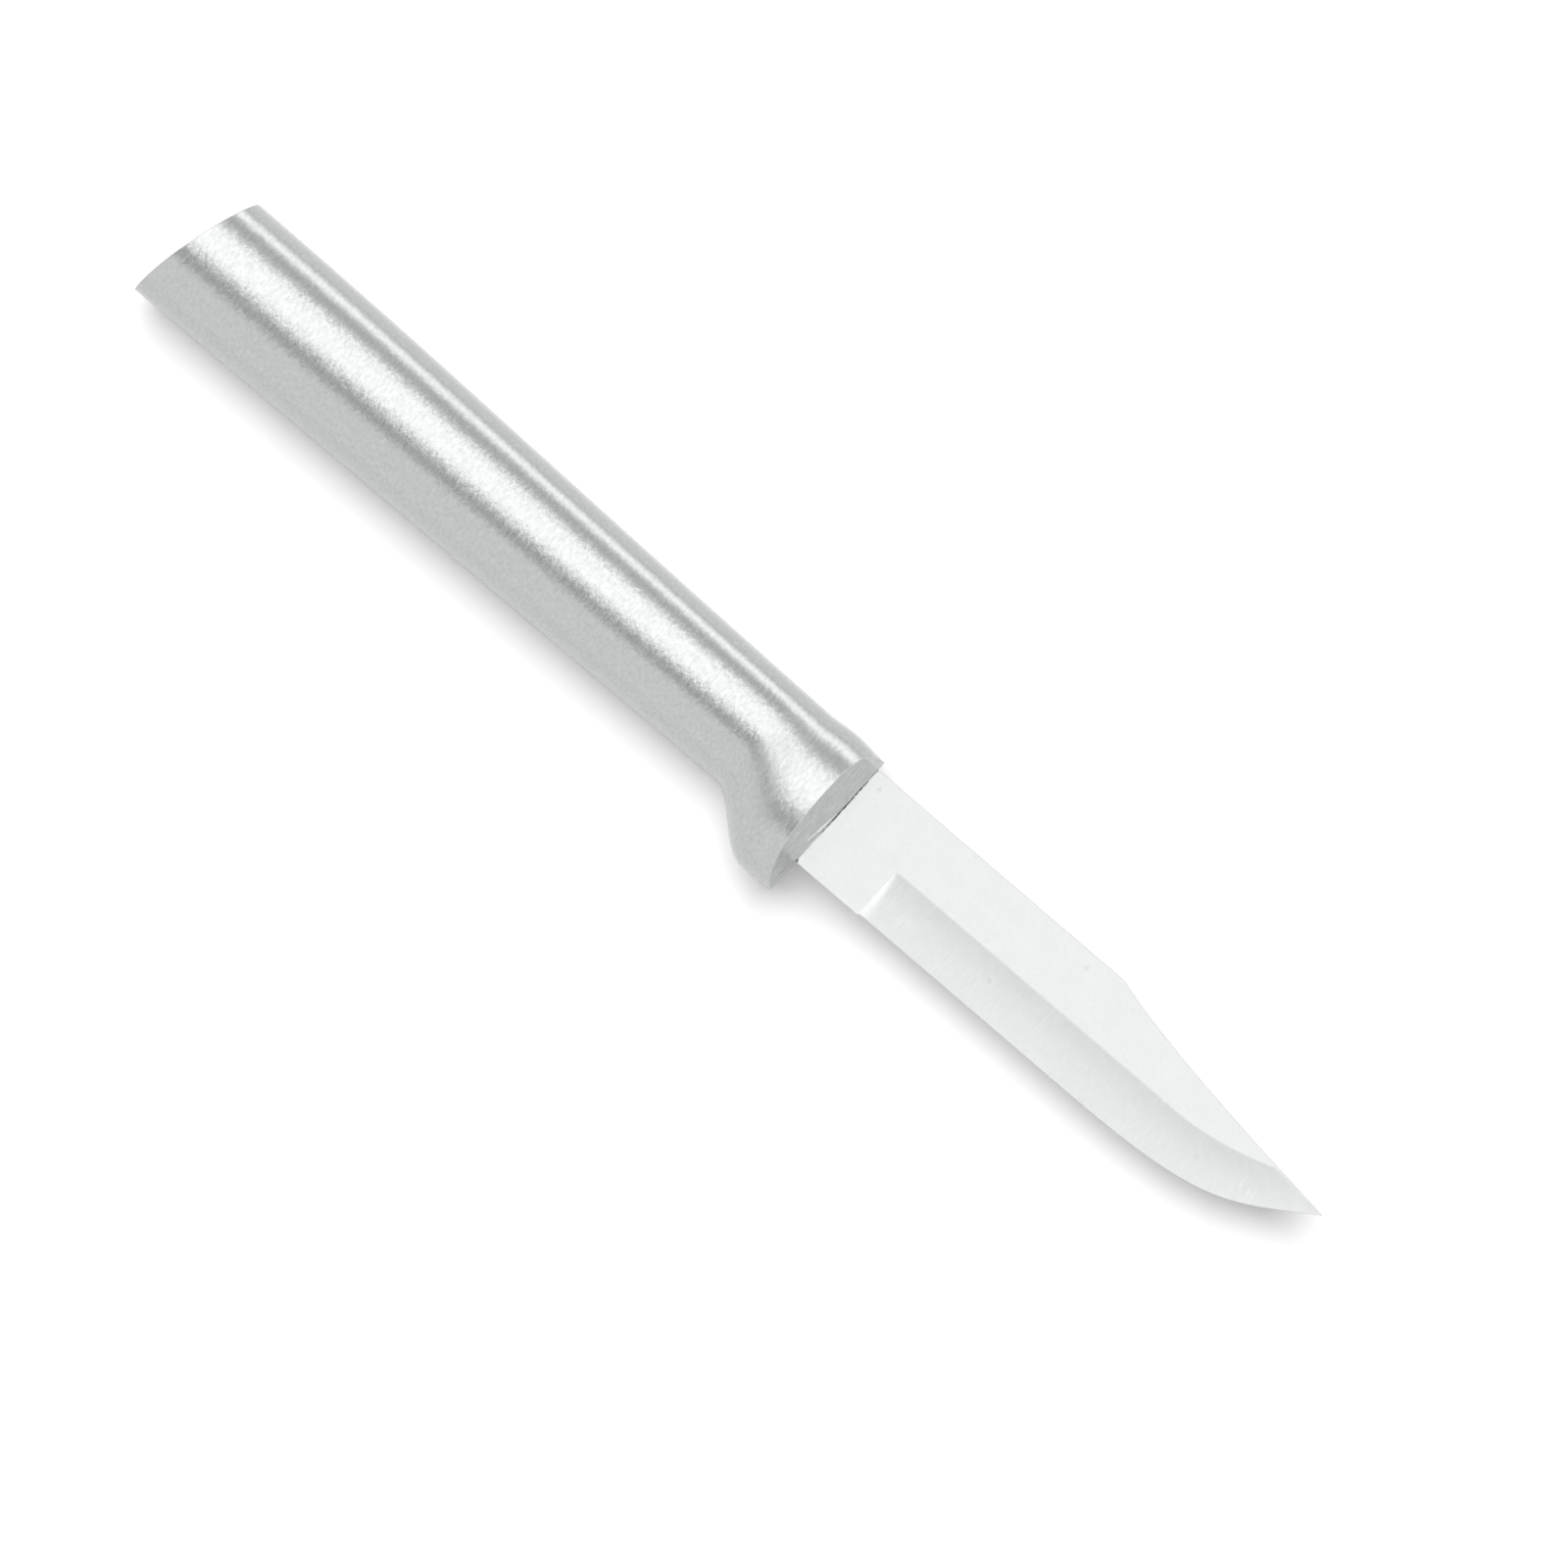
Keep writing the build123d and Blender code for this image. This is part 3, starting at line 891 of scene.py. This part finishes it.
def steel():
    """Stainless steel: satin along the flats, with fine wheel marks down the ground hollows; painted shade
    towards the edge and where the blade leaves the handle.
    """
    material, output = new_material("ground_steel")
    tree = material.node_tree
    ground = attribute(tree, "ground")
    wheel_marks = streaks(tree, *WHEEL_MARKS)
    satin = streaks(tree, *SATIN)
    cloud = streaks(tree, *STEEL_CLOUD)
    scratches = mapped(tree, streaks(tree, *SCRATCHES, detail=0.0), 0, 1, span=SCRATCH_SPAN)
    patches = mapped(tree, streaks(tree, *SCRATCH_PATCHES, detail=0.0), 0, 1, span=SCRATCH_PATCH_SPAN)
    scratched = multiplied(tree, multiplied(tree, scratches, patches), ground)

    flat_marks = mapped(tree, satin, -SATIN_DEPTH, SATIN_DEPTH)
    ground_marks = mapped(tree, wheel_marks, -WHEEL_MARK_DEPTH, WHEEL_MARK_DEPTH)
    clouds = mapped(tree, cloud, 1 - STEEL_CLOUD_DEPTH, 1 + STEEL_CLOUD_DEPTH)
    parts = [
        (blended(tree, ground, flat_marks, ground_marks), 1.0),
        (clouds, 1.0),
        (scratched, SCRATCH_DEPTH),
    ]
    for spacing, radius, depth in SPOTS:
        parts.append((stain_spots(tree, spacing, radius), depth))
    shade = summed(tree, parts)
    # Painted shade: the ground hollow darker towards the edge
    above_edge = along_axis(tree, 0, 1, 0, spine_y + ground_edge)
    edge_shade_tone = mapped(tree, above_edge, PAINTED_EDGE_SHADE, 1.0, span=(0, PAINTED_EDGE_SHADE_REACH))
    shade = toned(tree, shade, ground, edge_shade_tone)
    # Painted shade where the blade leaves the handle, and at the pit
    shade = toned(tree, shade, junction_shade(tree, STEEL_LINE_REACH), JUNCTION_SHADE_TONE)

    height = blended(tree, ground, satin, wheel_marks)
    roughness = mapped(tree, cloud, *STEEL_ROUGHNESS)
    colour = tinted(tree, STEEL_COLOUR, shade)
    add_metal(tree, output, colour, height, STEEL_RELIEF, roughness, STEEL_ANISOTROPY)
    return material


# Studio
# Strength of the light overhead by its angle from straight up, in degrees: below 0 on the belly side
STUDIO_ZONES = (
    (-90, 1.06), (-60, 1.01), (-44, 0.99), (-37, 1.04), (-31, 0.80), (-26, 0.37), (-22, 0.33),
    (-17, 0.73), (-12, 1.3), (-8, 1.86), (-3, 1.9), (2, 2.0), (6, 1.62), (11, 0.92), (17, 0.64),
    (24, 0.59), (31, 0.62), (38, 0.91), (46, 1.48), (54, 1.76), (61, 1.71), (70, 1.33),
    (80, 0.95), (90, 0.74),
)
STUDIO_TOP = 2.0
HORIZON = 0.9
HORIZON_FADE = 0.08

# Light beyond the blade's point: its strength, where it fades in along X, and where it fades out along Y
END_LIGHT = 1.72
END_LIGHT_SPAN = (0.3, 0.75)
END_LIGHT_REACH = (0.7, 0.4)

# Plain light on the floor, and how much lighter the floor is to the camera and in the metal
AMBIENT = 0.06
FLOOR_SIZE = 60.0
FLOOR_COLOUR = 0.85
FLOOR_LIFT = 0.32
MIRRORED_FLOOR_LIFT = 0.17

# Lamp that throws the shadow: its tilt from straight up, and its turn from the photograph's top edge
KEY_TILT = radians(23.0)
KEY_TURN = radians(13.0)
KEY_SPREAD = radians(52.5)
KEY_STRENGTH = 3.11

# Camera, straight above the knife
PHOTO_TURN = radians(40.6)
VIEW_CENTRE = (7.12 * MM, -0.49 * MM)
VIEW_WIDTH = 178.7 * MM
LENS = 200.0
SENSOR = 36.0


def mirrored(tree):
    """1 for what the camera sees in metal or through glass, and 0 for all other light."""
    path = add_node(tree, "ShaderNodeLightPath").outputs
    shown = maths(tree, "ADD", path["Is Glossy Ray"], path["Is Transmission Ray"], use_clamp=True)
    return multiplied(tree, shown, maths(tree, "LESS_THAN", path["Diffuse Depth"], 0.5))


def seen_directly(tree):
    """1 for what the camera sees itself, and 0 for all other light."""
    return add_node(tree, "ShaderNodeLightPath").outputs["Is Camera Ray"]


def floor_material():
    """Pale floor that looks white but keeps its shadows."""
    material, output = new_material("pale_floor")
    tree = material.node_tree
    paper = add_node(tree, "ShaderNodeBsdfDiffuse", {"Color": (FLOOR_COLOUR,) * 3 + (1,)})
    lift = summed(tree, ((seen_directly(tree), FLOOR_LIFT), (mirrored(tree), MIRRORED_FLOOR_LIFT)))
    glow = add_node(tree, "ShaderNodeEmission", {"Color": (1, 1, 1, 1), "Strength": lift})
    both = add_node(tree, "ShaderNodeAddShader", {0: paper.outputs[0], 1: glow.outputs[0]})
    tree.links.new(both.outputs[0], output.inputs["Surface"])
    return material


def zone_light(tree, y, z):
    """Strength of the long lights in a direction, by its angle about the knife."""
    share = mapped(tree, maths(tree, "ARCTAN2", y, z), 0, 1, span=(-pi / 2, pi / 2))
    ramp = add_node(tree, "ShaderNodeValToRGB", {"Fac": share})
    stops = ramp.color_ramp.elements
    stops.remove(stops[1])
    for number, (degrees_up, strength) in enumerate(STUDIO_ZONES):
        place = (degrees_up + 90) / 180
        stop = stops[0] if number == 0 else stops.new(place)
        stop.position = place
        stop.color = (strength / STUDIO_TOP,) * 3 + (1,)
    return multiplied(tree, ramp.outputs["Color"], STUDIO_TOP)


def studio_world():
    """Long soft lights over the knife, parallel to it, fading to a plain level towards the horizon."""
    world = bpy.data.worlds.new("studio")
    bpy.context.scene.world = world
    world.use_nodes = True
    tree = world.node_tree
    tree.nodes.clear()
    output = add_node(tree, "ShaderNodeOutputWorld")
    direction = add_node(tree, "ShaderNodeTexCoord").outputs["Generated"]
    parts = add_node(tree, "ShaderNodeSeparateXYZ", {"Vector": direction}).outputs
    overhead = mapped(tree, parts["Z"], 0, 1, span=(0.0, HORIZON_FADE))
    lights = blended(tree, overhead, HORIZON, zone_light(tree, parts["Y"], parts["Z"]))
    end = mapped(tree, parts["X"], 0, 1, span=END_LIGHT_SPAN)
    before_end = mapped(tree, maths(tree, "ABSOLUTE", parts["Y"]), 0, 1, span=END_LIGHT_REACH)
    lights = blended(tree, multiplied(tree, end, before_end), lights, END_LIGHT)
    strength = blended(tree, mirrored(tree), AMBIENT, lights)
    strength = blended(tree, seen_directly(tree), strength, 1.0)
    light = add_node(tree, "ShaderNodeBackground", {"Color": (1, 1, 1, 1), "Strength": strength})
    tree.links.new(light.outputs[0], output.inputs["Surface"])


def add_camera():
    """Camera straight above the knife, turned so that the knife lies as it does in the photograph."""
    data = bpy.data.cameras.new("camera")
    data.lens = LENS
    data.sensor_width = SENSOR
    camera = bpy.data.objects.new("camera", data)
    bpy.context.scene.collection.objects.link(camera)
    distance = VIEW_WIDTH * LENS / SENSOR
    camera.location = (*VIEW_CENTRE, mid_z + distance)
    camera.rotation_euler = (0, 0, PHOTO_TURN)
    bpy.context.scene.camera = camera


def add_key():
    """Very wide soft light from up and a little left in the photograph, which throws the short shadow."""
    data = bpy.data.lights.new("key", "SUN")
    data.angle = KEY_SPREAD
    data.energy = KEY_STRENGTH
    lamp = bpy.data.objects.new("key", data)
    bpy.context.scene.collection.objects.link(lamp)
    lamp.rotation_euler = (-KEY_TILT, 0, PHOTO_TURN + KEY_TURN)
    lamp.visible_glossy = False


def add_floor():
    """Plain floor under the knife."""
    bm = bmesh.new()
    bmesh.ops.create_grid(bm, x_segments=1, y_segments=1, size=FLOOR_SIZE / 2)
    floor = make_object("floor", bm)
    floor.data.materials.append(floor_material())


handle = build_handle()
round_corners(handle, CORNER_ROUND)
handle.data.materials.append(aluminium())
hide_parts("handle")
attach(handle, "root")

blade = build_blade()
blade.data.materials.append(steel())
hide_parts("blade")
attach(blade, "root")

add_floor()
studio_world()
add_key()
add_camera()
bpy.context.scene.view_settings.view_transform = "Standard"
